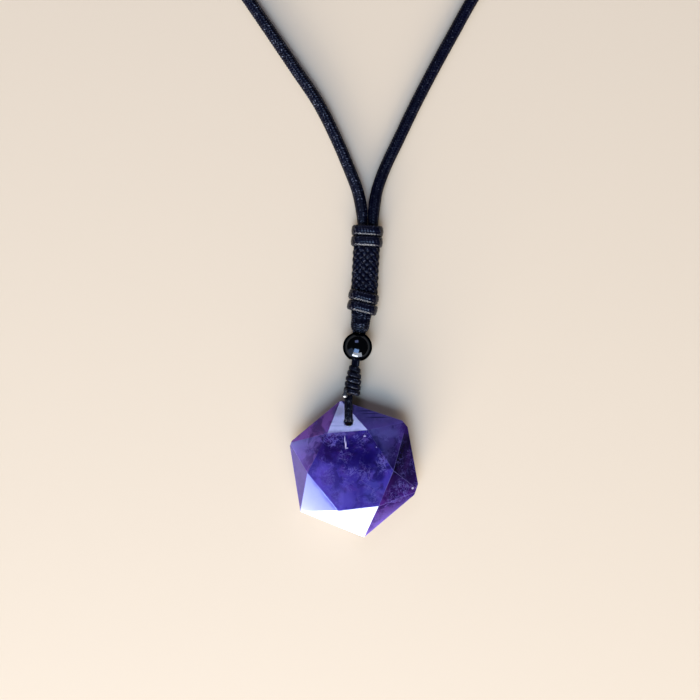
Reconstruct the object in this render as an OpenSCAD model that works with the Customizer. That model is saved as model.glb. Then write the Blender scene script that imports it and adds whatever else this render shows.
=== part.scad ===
// Faceted six-sided stone on a braided neck cord, lying flat on a surface.
// Lengths are in millimetres. The origin is the middle of the stone's back table, which rests
// on the surface. +Z points up, and +Y points from the stone along the necklace.

/* [Stone] */
// Girdle size across opposite corners
stone_across = 30.1; // [26:0.1:36]
// Thickness from the back table to the front table
stone_thick = 7; // [6:0.25:9]
// Height of the upright band round the girdle
girdle_h = 1.2; // [0.8:0.1:1.6]
// Table size across opposite corners
table_across = 18.9; // [16:0.1:21]
// Direction of the drilled corner, anticlockwise from +X
drilled_turn = 100.8; // [96:0.2:106]

/* [Drill hole] */
// Distance from the drilled corner to the hole, towards the middle
hole_in = 4.7; // [4.2:0.1:5.5]
// Distance of the hole to the right of that line
hole_side = 0.85; // [0:0.05:1.2]
// Play of the doubled cord in the hole
hole_play = 0.28; // [0.2:0.02:0.5]
// Width of the worn edge round the hole's two mouths
mouth_w = 0.3; // [0.2:0.05:0.6]

/* [Cords] */
// Diameter of the neck cord where it lies free
neck_cord_d = 2.7; // [2.3:0.1:2.8]
// Diameter of the neck cord where the wraps squeeze it
held_cord_d = 2.3; // [1.9:0.1:2.4]
// Width of the neck cord where it is folded flat over the thin cord
fold_w = 4.2; // [3.8:0.1:4.4]
// Thickness of that fold, both layers and what runs between them
fold_t = 3.2; // [2.8:0.1:3.4]
// Diameter of the thin cord that carries the stone
thin_cord_d = 0.86; // [0.7:0.02:1]

/* [Knot] */
// Length of one row of the knot
row_pitch = 1.22; // [1:0.02:1.5]
// Width of the widest row
knot_w = 3.7; // [3:0.1:4.4]
// Free way from the stone's corner to the knot
knot_clear = 1; // [0.8:0.1:2]
// Slant of the rows
row_slant = 10; // [0:1:14]
// Length of the thin cord that shows between the knot and the bead
thin_neck = 0.8; // [0.8:0.1:2.5]
// Diameter of the melted drop on the thin cord's cut end
drop_d = 1.2; // [1:0.1:1.5]

/* [Bead] */
// Diameter of the bead
bead_d = 6.4; // [5.8:0.1:8]
// Play of the doubled cord in the bead's bore
bore_play = 0.48; // [0.4:0.02:0.8]
// Depth of the countersinks at both ends of the bore
sink_depth = 0.6; // [0.4:0.05:0.7]

/* [Sleeve] */
// Length of the woven sleeve between the wraps
sleeve_len = 9.7; // [6:0.1:16]
// Thickness of the sleeve's weave
weave_t = 0.48; // [0.35:0.01:0.8]
// Length of one wrap along the cords
wrap_len = 2.28; // [1.8:0.02:2.6]
// Thickness of a wrap
wrap_t = 1.15; // [0.9:0.05:1.4]
// Slant of the lower wraps against the cords
lower_slant = 7; // [0:0.5:9]
// Distance from the bead to the lower wraps, which the fold fills
eye_len = 4.6; // [4.3:0.1:7]

/* [Fits] */
// Gap between pieces that lie against each other
gap = 0.05; // [0.03:0.01:0.08]

/* [Hidden] */
$fn = 64;
SIDES = 8;

// Corners of the hand-cut girdle, clockwise from the drilled one:
// [turn from its regular place, distance as a share, how much is ground off the tip as a share of the radius]
GIRDLE = [[0, 0.985, 0.012], [-0.5, 1.008, 0.035], [-0.2, 1.008, 0.05],
          [-2.1, 1.018, 0.008], [-1.2, 0.993, 0.008], [-1.8, 0.988, 0.022]];
// Corners of both tables, each clockwise from the girdle corner of the same row:
// [turn from its regular place, distance as a share]
TABLE = [[-0.6, 0.942], [-13, 0.904], [-6.7, 1.012], [-0.8, 1.004], [-6.1, 1.046], [-4.7, 1.001]];
// Width of each row of the knot, from the bead down, as a share of the widest
ROW_WIDTHS = [0.71, 0.88, 0.96, 1, 1];

// Leans of the stretches of the necklace, clockwise from +Y
KNOT_LEAN = 5.5;
BEAD_LEAN = 9.8;
EYE_LEAN = 7;
SLEEVE_LEAN = 3;
// How far the fold reaches into the bead's upper countersink
FOLD_DIP = 0.1;

// Route of the neck cord, from the left strand at the top of the sleeve round to the right one,
// as [x, y] from the middle of that top
NECK_ROUTE = [[-1.4, 3.8], [-2.3, 8], [-4.2, 13], [-7, 19.5], [-10.8, 27], [-15.8, 34.5],
  [-21.2, 42.5], [-27, 51], [-34, 61], [-43, 74], [-52, 88], [-60, 102], [-67, 118], [-72, 135],
  [-75, 154], [-76, 173], [-75, 191], [-71, 208], [-64, 224], [-54, 238], [-41, 250], [-26, 258],
  [-10, 262.5], [6, 262.5], [22, 258], [37, 250], [50, 238], [60, 224], [67, 208], [71, 191],
  [72, 173], [71, 154], [68, 135], [63, 118], [56, 102], [48, 88], [39, 74], [30.5, 61],
  [23.7, 51], [18.9, 42.5], [14.5, 34.5], [10.6, 27], [7, 19.5], [3.9, 13], [2.1, 8], [1.4, 3.8]];
// Extra rings between two points of that route
ROUTE_STEPS = 2;

stone_r = stone_across / 2;
table_r = table_across / 2;
mid_z = stone_thick / 2;
girdle_top = mid_z + girdle_h / 2;
thin_r = thin_cord_d / 2;
hole_r = thin_cord_d + hole_play / 2;
bead_r = bead_d / 2;
bore_r = thin_cord_d + bore_play / 2;
sink_r = bore_r + sink_depth * 0.6;
// Half the distance between two thin strands, and between the two strands in the sleeve
thin_half = thin_r + gap / 2;
held_r = held_cord_d / 2;
held_half = held_r + gap / 2;
// Radius of the thin cord's bend inside the fold
bend_r = 1.25 * thin_cord_d;

function polar(r, a) = [r * cos(a), r * sin(a)];
function unit(v) = v / norm(v);
function mix(a, b, t) = a + (b - a) * t;
function leaning(l) = [sin(l), cos(l), 0];

// Corners of the stone
function girdle_turn(k) = drilled_turn - 60 * k + GIRDLE[k][0];
function girdle_xy(k) = polar(stone_r * GIRDLE[k][1], girdle_turn(k));
function table_xy(k) = polar(table_r * TABLE[k][1], drilled_turn - 60 * k - 30 + TABLE[k][0]);
function at_z(p, z) = [p.x, p.y, z];

// Height of the drilled corner's front facet above a point of the plan, and its slope
facet_foot = at_z(girdle_xy(0), girdle_top);
facet_n = cross(at_z(table_xy(0), stone_thick) - facet_foot, at_z(table_xy(5), stone_thick) - facet_foot);
function facet_z(x, y) =
  girdle_top - (facet_n.x * (x - facet_foot.x) + facet_n.y * (y - facet_foot.y)) / facet_n.z;
facet_slope = atan(facet_n.y / facet_n.z);

drill_dir = -polar(1, drilled_turn);
hole_at = girdle_xy(0) + hole_in * drill_dir + hole_side * [-drill_dir.y, drill_dir.x];

// Middle line of the necklace, piece by piece
sleeve_z = held_r + gap + wrap_t;
// The knot sits a little to the right of the cord that comes up from the hole
knot_foot = [hole_at.x + hole_side * 0.75, girdle_xy(0).y + knot_clear, mid_z];
row_rim = row_pitch * 0.56;
// How far a slanted row stands past its own thickness
row_rise = (knot_w / 2 - row_rim) * sin(row_slant);
knot_len = row_pitch * (len(ROW_WIDTHS) - 1) + 2 * (row_rim + row_rise);
bead_at = at_z(knot_foot + knot_len * leaning(KNOT_LEAN) + (thin_neck + bead_r) * leaning(BEAD_LEAN), bead_r);
knot_top = mix(knot_foot, bead_at, knot_len / (knot_len + thin_neck + bead_r));
// Where the thin cord's legs leave the bead, and the middle of their bend, above the bead's middle
rim_up = sqrt(bead_r ^ 2 - sink_r ^ 2);
rim_half = sink_r - 1.15 * thin_r - gap;
bend_up = rim_up + 0.65 * thin_cord_d;
wrap_pitch = wrap_len + gap;
function collar_len(slant) = (2 * wrap_pitch + gap) / cos(slant);
eye_foot = at_z(bead_at + (rim_up + eye_len) * leaning(EYE_LEAN), sleeve_z);
sleeve_foot = eye_foot + collar_len(lower_slant) * leaning(EYE_LEAN);
sleeve_top = sleeve_foot + sleeve_len * leaning(SLEEVE_LEAN);
cords_top = sleeve_top + collar_len(0) * leaning(SLEEVE_LEAN);

// A frame along the line from the bead to the sleeve: [along, across]
eye_dir = unit(eye_foot - bead_at);
eye_across = unit(cross(eye_dir, [0, 0, 1]));
eye_upward = cross(eye_across, eye_dir);
function from_bead(along, across = 0) = bead_at + along * eye_dir + across * eye_across;

// Puts a shape drawn along +Z from the origin on the line from a to b
module along(a, b) {
  d = b - a;
  translate(a) rotate([0, acos(d.z / norm(d)), atan2(d.y, d.x)]) children();
}

// A tube through points p with a radius for each, whose rings are turned by a reference direction
function direction(p, i) =
  let (before = p[max(i - 1, 0)], after = p[min(i + 1, len(p) - 1)],
       a = p[i] == before ? after - p[i] : p[i] - before, b = after == p[i] ? a : after - p[i])
  unit(unit(a) + unit(b));
function ring(c, t, r, ref) =
  let (side = unit(cross(t, ref)), up = cross(side, t))
  [for (k = [0 : SIDES - 1]) c + r * (cos(360 * k / SIDES) * side + sin(360 * k / SIDES) * up)];
function wall(n) =
  [for (i = [0 : n - 2], k = [0 : SIDES - 1]) let (m = (k + 1) % SIDES)
    [i * SIDES + k, i * SIDES + m, (i + 1) * SIDES + m, (i + 1) * SIDES + k]];
module tube(p, r, ref) {
  n = len(p);
  points = [for (i = [0 : n - 1]) each ring(p[i], direction(p, i), r[i], ref)];
  ends = [[for (k = [SIDES - 1 : -1 : 0]) k], [for (k = [0 : SIDES - 1]) (n - 1) * SIDES + k]];
  polyhedron(points, concat(wall(n), ends), convexity = 8);
}
function same(r, p) = [for (x = p) r];

// The stone: a table, six corner facets and six edge facets on each side of the girdle
module cut_stone() {
  heights = [stone_thick, girdle_top, stone_thick - girdle_top, 0];
  points = [for (row = [0 : 3], k = [0 : 5])
    at_z(row == 1 || row == 2 ? girdle_xy(k) : table_xy(k), heights[row])];
  tables = [[for (k = [0 : 5]) k], [for (k = [5 : -1 : 0]) 18 + k]];
  front = [for (k = [0 : 5]) each [[(k + 5) % 6, 6 + k, k], [6 + k, 6 + (k + 1) % 6, k]]];
  back = [for (k = [0 : 5]) each [[18 + k, 12 + k, 18 + (k + 5) % 6], [18 + k, 12 + (k + 1) % 6, 12 + k]]];
  girdle = [for (k = [0 : 5]) [6 + (k + 1) % 6, 6 + k, 12 + k, 12 + (k + 1) % 6]];
  polyhedron(concat(points), concat(tables, front, back, girdle));
}

module stone() {
  color("slateblue") difference() {
    cut_stone();
    translate(at_z(hole_at, -1)) cylinder(r = hole_r, h = stone_thick + 2);
    for (face = [0, 1]) translate([0, 0, face * mid_z]) mirror([0, 0, face]) translate([0, 0, -face * mid_z])
      translate(at_z(hole_at, facet_z(hole_at.x, hole_at.y))) rotate([-facet_slope, 0, 0])
        translate([0, 0, -2 * mouth_w]) cylinder(r1 = hole_r, r2 = hole_r + 2 * mouth_w, h = 4 * mouth_w);
    for (k = [0 : 5]) rotate(girdle_turn(k))
      translate([stone_r * (GIRDLE[k][1] - GIRDLE[k][2]), -stone_r / 2, -1])
        cube([stone_r, stone_r, stone_thick + 2]);
  }
}

// One strand of the thin cord from the knot, over the girdle, through the hole and back
function strand_route(x) =
  let (lip_y = hole_at.y + sqrt(hole_r ^ 2 - (x - hole_at.x) ^ 2), lip_z = facet_z(x, lip_y),
       a = girdle_xy(0), b = girdle_xy(1), edge_y = a.y + (x - a.x) * (b.y - a.y) / (b.x - a.x),
       edge_z = facet_z(x, edge_y),
       lift = thin_r + gap, lean_in = lip_y - hole_at.y - hole_play / 2,
       out = 90 - facet_slope,
       front = concat(
         [[x, knot_foot.y - 2 * gap, mid_z + thin_half + gap],
          [x, edge_y + lift * cos(out / 2), edge_z + lift * sin(out / 2)],
          [x, edge_y + lift * cos(out), edge_z + lift * sin(out)]],
         [for (i = [0 : 4]) let (t = out + i * (180 - out) / 4)
           [x, lip_y + cos(t) * (cos(t) > 0 ? lift : lean_in), lip_z + sin(t) * lift]],
         [[x, lip_y - lean_in, girdle_top]]))
  concat(front, [for (i = [len(front) - 1 : -1 : 0]) [x, front[i].y, stone_thick - front[i].z]]);

module stone_loop() {
  color("black") for (side = [-1, 1]) {
    p = strand_route(hole_at.x + side * thin_half);
    tube(p, same(thin_r, p), [1, 0, 0]);
  }
}

// The knot: rows of wound cord round a core, each row a disc with a rounded rim
module knot() {
  top = norm(knot_top - knot_foot);
  first = top - row_rim - row_rise;
  color("black") along(knot_foot, knot_top) {
    translate([0, 0, row_rise]) cylinder(r = thin_cord_d, h = top - 2 * row_rise);
    for (i = [0 : len(ROW_WIDTHS) - 1]) let (flat = knot_w * ROW_WIDTHS[i] / 2 - row_rim)
      translate([0, 0, first - i * row_pitch]) rotate([row_slant, 0, 0]) rotate_extrude() {
        translate([0, -row_rim]) square([flat, 2 * row_rim]);
        intersection() {
          translate([flat, 0]) circle(r = row_rim);
          translate([0, -row_rim]) square([flat + row_rim, 2 * row_rim]);
        }
      }
  }
}

// The cut end of the thin cord, melted to a drop, on the upper left of the lowest row
module sealed_end() {
  reach = knot_w / 2 + gap + drop_d / 2;
  turn = 35;
  centre = [-reach * sin(turn), 0, reach * cos(turn)];
  color("dimgray") translate(knot_foot + centre + row_pitch * 0.1 * leaning(KNOT_LEAN))
    rotate([-90, 0, -KNOT_LEAN]) {
      sphere(r = drop_d / 2);
      cylinder(r = thin_r, h = row_pitch * 1.2);
    }
}

module bead() {
  color("black") difference() {
    translate(bead_at) sphere(r = bead_r, $fn = 96);
    along(from_bead(-bead_r - 1), from_bead(bead_r + 1)) {
      cylinder(r = bore_r, h = bead_d + 2);
      for (end = [0, 1]) translate([0, 0, end * (bead_d + 2)]) mirror([0, 0, end])
        translate([0, 0, 1 + bead_r - rim_up]) {
          cylinder(r1 = sink_r, r2 = bore_r, h = sink_depth);
          translate([0, 0, -1]) cylinder(r = sink_r, h = 1);
        }
    }
  }
}

function reversed(v) = [for (i = [len(v) - 1 : -1 : 0]) v[i]];

// The thin cord through the bead: up one side, round the inside of the fold and down the other
BEND_STEPS = 8;
// Points of one leg: [distance along, distance from the line]
thread_leg = [[-bead_r - thin_neck + 2 * gap, thin_half], [rim_up - 1.4 * sink_depth, thin_half],
  [rim_up, rim_half], [mix(rim_up, bend_up, 0.5), mix(rim_half, bend_r, 0.8)]];
thread_route = concat(
  [for (p = thread_leg) from_bead(p[0], p[1])],
  [for (i = [0 : BEND_STEPS]) let (a = 180 * i / BEND_STEPS)
    from_bead(bend_up + bend_r * sin(a), bend_r * cos(a))],
  [for (p = reversed(thread_leg)) from_bead(p[0], -p[1])]);
module threaded(r) tube(thread_route, same(r, thread_route), eye_upward);
module bead_thread() color("black") threaded(thin_r);

// The neck cord: its fold at the eye, both strands through the sleeve, and the loop for the neck
eye_total = norm(eye_foot - bead_at);
strand_drop = held_cord_d * sin(lower_slant);
shoulder_r = held_r + 2 * gap;
shoulder_up = eye_total - strand_drop - shoulder_r;
shoulder_half = fold_w / 2 - shoulder_r;
fold_low = rim_up - FOLD_DIP;
fold_reach = (shoulder_up - fold_low) * 0.65;
// The fold: a flat tongue with a channel that leaves the thin cord free
module fold() {
  difference() {
    hull() {
      along(from_bead(fold_low + fold_reach), eye_foot) scale([fold_t / 2, fold_w / 2, fold_reach])
        sphere(1, $fn = 32);
      for (side = [-1, 1]) translate(from_bead(shoulder_up, side * shoulder_half)) sphere(shoulder_r, $fn = 24);
    }
    threaded(thin_r + 2 * gap);
  }
}
// Rings of one strand from the fold to the top of the upper wraps: [middle, radius]
function held(side) =
  let (low = [cos(EYE_LEAN), -sin(EYE_LEAN), 0], high = [cos(SLEEVE_LEAN), -sin(SLEEVE_LEAN), 0],
       s = side * held_half)
  [[from_bead(shoulder_up, side * shoulder_half), 0.65 * held_r],
   [eye_foot - strand_drop * leaning(EYE_LEAN) + s * low, held_r],
   [eye_foot + wrap_pitch * leaning(EYE_LEAN) + s * low, held_r],
   [sleeve_foot + s * unit(low + high), held_r],
   [sleeve_top + s * high, held_r], [cords_top + s * high, held_r]];
function spline(a, b, c, d, t) =
  0.5 * (2 * b + (c - a) * t + (2 * a - 5 * b + 4 * c - d) * t ^ 2 + (3 * b - a - 3 * c + d) * t ^ 3);
// The free loop: the route's points with rings between them, resting on the surface once clear of the wraps
function eased(t) = t ^ 2 * (3 - 2 * t);
function free_z(y) = mix(sleeve_z, neck_cord_d / 2, eased(min(1, y / NECK_ROUTE[2].y)));
route_points = [for (p = NECK_ROUTE) at_z(cords_top + [p.x, p.y, 0], free_z(p.y))];
route_last = len(route_points) - 1;
free_loop = [for (i = [0 : route_last - 1], k = [0 : ROUTE_STEPS - 1])
  if (k == 0 || norm(route_points[i + 1] - route_points[i]) > 3 * neck_cord_d)
    spline(route_points[max(i - 1, 0)], route_points[i], route_points[i + 1],
           route_points[min(i + 2, route_last)], k / ROUTE_STEPS)];
module neck_cord() {
  left = held(-1);
  right = held(1);
  points = concat([for (h = right) h[0]], [route_points[route_last]], reversed(free_loop),
                  [for (h = reversed(left)) h[0]]);
  radii = concat([for (h = right) h[1]], [for (i = [0 : len(free_loop)]) neck_cord_d / 2],
                 [for (h = reversed(left)) h[1]]);
  color("black") {
    fold();
    tube(points, radii, [0, 0, 1]);
  }
}

// A ring round both strands: a slab with rounded rims and round ends, hollow inside
module wrap(half, r_in) {
  r = wrap_t / 2;
  wide = r_in + wrap_t;
  module section() {
    square([2 * (wide - r), wrap_len], center = true);
    square([2 * wide, wrap_len - 2 * r], center = true);
    for (x = [-1, 1], y = [-1, 1]) translate([x * (wide - r), y * (wrap_len / 2 - r)]) circle(r = r);
  }
  difference() {
    union() {
      for (s = [-1, 1]) translate([s * half, 0, 0]) rotate_extrude() intersection() {
        section();
        translate([0, -wrap_len / 2]) square([wide, wrap_len]);
      }
      translate([-half, 0, 0]) rotate([90, 0, 90]) linear_extrude(2 * half) section();
    }
    translate([0, 0, -wrap_len]) stadium(half, r_in, 2 * wrap_len);
  }
}

// Places wrap number i of a pair that starts at foot and leans, each slanted against the cords
module placed_wrap(foot, lean, slant, i) {
  up = gap + (i + 0.5) * wrap_pitch / cos(slant);
  color("black") translate(foot + up * leaning(lean)) rotate([-90, 0, -lean])
    rotate([0, slant, 0])
      wrap(held_half + held_r * (1 / cos(slant) - 1) + wrap_len / 2 * sin(slant), held_r + gap);
}
module lower_wrap_1() placed_wrap(eye_foot, EYE_LEAN, lower_slant, 0);
module lower_wrap_2() placed_wrap(eye_foot, EYE_LEAN, lower_slant, 1);
module upper_wrap_1() placed_wrap(sleeve_top, SLEEVE_LEAN, 0, 0);
module upper_wrap_2() placed_wrap(sleeve_top, SLEEVE_LEAN, 0, 1);

module stadium(half, r, h) {
  linear_extrude(h) {
    square([2 * half, 2 * r], center = true);
    for (s = [-1, 1]) translate([s * half, 0]) circle(r = r);
  }
}

// The woven sleeve: a flat tube round both strands, its lower end slanted with the wraps below it
module woven_sleeve() {
  inner = held_r + gap;
  slant = EYE_LEAN + lower_slant - SLEEVE_LEAN;
  reach = (held_half + inner + weave_t) * tan(slant);
  color("black") translate(sleeve_foot) rotate([-90, 0, -SLEEVE_LEAN]) difference() {
    translate([0, 0, -reach]) stadium(held_half, inner + weave_t, sleeve_len + reach);
    translate([0, 0, -reach - 1]) stadium(held_half, inner, sleeve_len + reach + 2);
    rotate([0, slant, 0]) translate([-sleeve_len, -sleeve_len, -2 * sleeve_len]) cube(2 * sleeve_len);
  }
}

stone();
stone_loop();
knot();
sealed_end();
bead();
bead_thread();
neck_cord();
lower_wrap_1();
lower_wrap_2();
woven_sleeve();
upper_wrap_1();
upper_wrap_2();
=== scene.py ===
"""Faceted purple stone on a braided neck cord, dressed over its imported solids."""
import sys
import logging
import math
from dataclasses import dataclass, field, replace
from enum import Enum
from typing import Callable, Sequence

import bmesh
import bpy
import numpy as np
from bpy.types import Material, Node, NodeSocket, NodeTree, Object
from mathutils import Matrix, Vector


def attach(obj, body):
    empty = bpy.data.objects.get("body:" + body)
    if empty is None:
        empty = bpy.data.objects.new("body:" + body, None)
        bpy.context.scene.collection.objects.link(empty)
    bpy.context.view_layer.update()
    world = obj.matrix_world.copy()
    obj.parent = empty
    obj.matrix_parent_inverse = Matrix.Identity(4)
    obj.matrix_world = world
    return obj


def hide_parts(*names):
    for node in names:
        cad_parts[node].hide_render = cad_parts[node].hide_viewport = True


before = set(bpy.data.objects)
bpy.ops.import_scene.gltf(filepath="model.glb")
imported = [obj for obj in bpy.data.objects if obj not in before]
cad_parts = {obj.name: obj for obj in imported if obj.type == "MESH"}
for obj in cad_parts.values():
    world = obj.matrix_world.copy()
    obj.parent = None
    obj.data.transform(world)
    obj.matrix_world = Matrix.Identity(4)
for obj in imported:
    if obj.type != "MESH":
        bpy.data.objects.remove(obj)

LOG = logging.getLogger("necklace")
MM = 0.001
# Distance between two rings of a thin cord or yarn, in millimetres
RING_STEP = 0.07
Array = np.ndarray
Colour = tuple[float, float, float]
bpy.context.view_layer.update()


def unit(v: Array) -> Array:
    """Vectors along the last axis, scaled to length one."""
    return v / np.linalg.norm(v, axis=-1, keepdims=True)


def vec(*values: float) -> Array:
    """A numpy vector of the given numbers."""
    return np.array(values, float)


def leaning(turn: float) -> Array:
    """The direction that leans clockwise from +Y by so many degrees."""
    return vec(math.sin(math.radians(turn)), math.cos(math.radians(turn)), 0.0)


def polar(turn: float) -> Array:
    """The plan's direction at so many degrees from +X towards +Y."""
    return vec(math.cos(math.radians(turn)), math.sin(math.radians(turn)))


def mix(a: Array, b: Array, t: float) -> Array:
    """The value a share t of the way from a to b."""
    return a + (b - a) * t


def run_of(path: Array) -> Array:
    """Distance along a path at each of its rows."""
    steps = np.linalg.norm(np.diff(path[:, :3], axis=0), axis=1)
    return np.concatenate([[0], np.cumsum(steps)])


def smooth_path(points: Array, spacing: float) -> Array:
    """A smooth curve through rows of numbers, with rings at even distances.

    Args:
        points: Rows of x, y, z and any further values that go along, in millimetres.
        spacing: Distance between two rows of the result.

    Returns:
        The dense rows, from the first point to the last.
    """
    padded = np.vstack([2 * points[0] - points[1], points, 2 * points[-1] - points[-2]])
    t = np.linspace(0, 1, 24, endpoint=False)[:, None]
    rows = []
    for a, b, c, d in zip(padded, padded[1:], padded[2:], padded[3:]):
        square, cube = 2 * a - 5 * b + 4 * c - d, 3 * b - a - 3 * c + d
        rows.append(0.5 * (2 * b + (c - a) * t + square * t**2 + cube * t**3))
    dense = np.vstack(rows + [points[-1:]])
    run = run_of(dense)
    count = max(3, int(round(run[-1] / spacing)) + 1)
    at = np.linspace(0, run[-1], count)
    return np.stack([np.interp(at, run, dense[:, i]) for i in range(dense.shape[1])], axis=1)


def tangents(path: Array, closed: bool) -> Array:
    """Directions of a path at each of its rows."""
    if closed:
        return unit(np.roll(path, -1, axis=0) - np.roll(path, 1, axis=0))
    return unit(np.gradient(path, axis=0))


@dataclass(frozen=True)
class Braid:
    """The relief of a round braid: columns of slanted stitches that meet in points.

    Lengths are in millimetres.
    """

    columns: int
    stitch: float
    depth: float
    slant: float = 0.85
    furrow: float = 0.55

    def relief(self, turn: Array, run: Array) -> Array:
        """Depth below the outer surface.

        Args:
            turn: Share of a full turn round the cord, 0 to 1.
            run: Distance along the cord.

        Returns:
            Numbers from 0 on top of a stitch to depth in the deepest furrow.
        """
        u = turn * self.columns
        column = np.floor(u + 1e-6)
        f = u - column - 0.5
        side = np.where(column.astype(int) % 2 == 0, 1.0, -1.0)
        phase = run / self.stitch + side * f * self.slant
        ridge = np.abs(np.cos(math.pi * phase)) ** 0.6
        crown = np.sqrt(np.clip(1 - (1.9 * f) ** 2 * self.furrow, 0, 1))
        return self.depth * (1 - (0.35 + 0.65 * ridge) * crown)


def show(name: str, data: bpy.types.ID) -> Object:
    """A new object of that mesh, light or camera, linked to the scene."""
    piece = bpy.data.objects.new(name, data)
    bpy.context.scene.collection.objects.link(piece)
    return piece


@dataclass
class Shape:
    """Vertices, faces and a relief value for each vertex, before they become a mesh."""

    points: list[Array] = field(default_factory=list)
    faces: list[tuple[int, ...]] = field(default_factory=list)
    relief: list[Array] = field(default_factory=list)
    count: int = 0

    def add(self, points: Array, faces: Sequence[tuple[int, ...]], relief: Array | None = None) -> None:
        """Adds points and the faces between them.

        Args:
            points: Rows of x, y, z in millimetres.
            faces: Corner numbers, counted from the first of these points.
            relief: Share of the full depth at each point, or None for none.
        """
        self.faces += [tuple(int(i) + self.count for i in f) for f in faces]
        self.points.append(points)
        self.relief.append(np.zeros(len(points)) if relief is None else relief)
        self.count += len(points)

    def build(self, name: str, smooth: bool = True) -> Object:
        """Makes the mesh and its object.

        Args:
            name: The piece's name.
            smooth: Whether its faces shade smoothly.

        Returns:
            The new object, linked to the scene.
        """
        mesh = bpy.data.meshes.new(name)
        mesh.from_pydata((np.vstack(self.points) * MM).tolist(), [], self.faces)
        layer = mesh.attributes.new("relief", "FLOAT", "POINT")
        layer.data.foreach_set("value", np.concatenate(self.relief).astype(np.float32))
        mesh.polygons.foreach_set("use_smooth", [smooth] * len(mesh.polygons))
        mesh.update()
        return show(name, mesh)


def sweep(shape: Shape, path: Array, ref: Array, wide: Array | float, tall: Array | float, segments: int,
          braid: Braid | None = None, closed: bool = False, boxy: float = 1.0, run_start: float = 0.0,
          rounded: bool = True) -> None:
    """Adds a tube along a path.

    Args:
        shape: Takes the points and faces.
        path: Rows of x, y, z in millimetres.
        ref: One direction, or one for each row, that the tube's height stands along.
        wide: Half width across that direction.
        tall: Half height along it.
        segments: Points in a ring.
        braid: Relief of the surface.
        closed: Whether the last ring joins the first.
        boxy: 1 for an ellipse, less for a squarer section.
        run_start: Distance along the cord at the first ring.
        rounded: Whether open ends are domed.
    """
    n = len(path)
    t = tangents(path, closed)
    ref = np.broadcast_to(ref, path.shape)
    side = unit(np.cross(t, ref))
    up = np.cross(side, t)
    a = np.arange(segments) / segments * 2 * math.pi
    c, s = np.cos(a), np.sin(a)
    c, s = np.sign(c) * np.abs(c) ** boxy, np.sign(s) * np.abs(s) ** boxy
    wide = np.broadcast_to(wide, (n,))[:, None]
    tall = np.broadcast_to(tall, (n,))[:, None]
    run = run_of(path) + run_start
    low = np.zeros((n, segments))
    if braid:
        low = braid.relief(np.broadcast_to(a / (2 * math.pi), (n, segments)), run[:, None])
    w, h = (wide - low) * c, (tall - low) * s
    rings = path[:, None, :] + w[..., None] * side[:, None, :] + h[..., None] * up[:, None, :]
    share = (low / braid.depth if braid else low).reshape(-1)
    ring_count = n if closed else n - 1
    i = np.arange(ring_count)[:, None]
    k = np.arange(segments)[None, :]
    j, m = (i + 1) % n, (k + 1) % segments
    quads = [i * segments + k, i * segments + m, j * segments + m, j * segments + k]
    faces = [tuple(f) for f in np.stack(quads, axis=-1).reshape(-1, 4)]
    points = rings.reshape(-1, 3)
    if not closed:
        for last, way in ((0, -1), (n - 1, 1)):
            bulge = 0.35 * float(min(wide[last, 0], tall[last, 0])) if rounded else 0.0
            ring, top = [last * segments + q for q in range(segments)], len(points)
            faces += [(*pair[::way], top) for pair in zip(ring, ring[1:] + ring[:1])]
            points = np.vstack([points, path[last] + way * bulge * t[last]])
            share = np.append(share, 0.5)
    shape.add(points, faces, share)


def lathe(shape: Shape, centre: Array, axis: Array, profile: Sequence[tuple[float, float]],
          segments: int) -> None:
    """Adds a closed turned form.

    Args:
        shape: Takes the points and faces.
        centre: Middle of the form on its axis.
        axis: Direction of the axis.
        profile: Closed outline as pairs of distance along the axis and radius.
        segments: Points in a ring.
    """
    axis = unit(axis)
    side = unit(np.cross(axis, vec(0, 0, 1)))
    up = np.cross(side, axis)
    a = np.arange(segments) / segments * 2 * math.pi
    round_axis = np.cos(a)[:, None] * side + np.sin(a)[:, None] * up
    rings = [centre + z * axis + r * round_axis for z, r in profile]
    n = len(profile)
    faces = [(i * segments + k, ((i + 1) % n) * segments + k, ((i + 1) % n) * segments + (k + 1) % segments,
              i * segments + (k + 1) % segments) for i in range(n) for k in range(segments)]
    shape.add(np.vstack(rings), faces)


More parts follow.
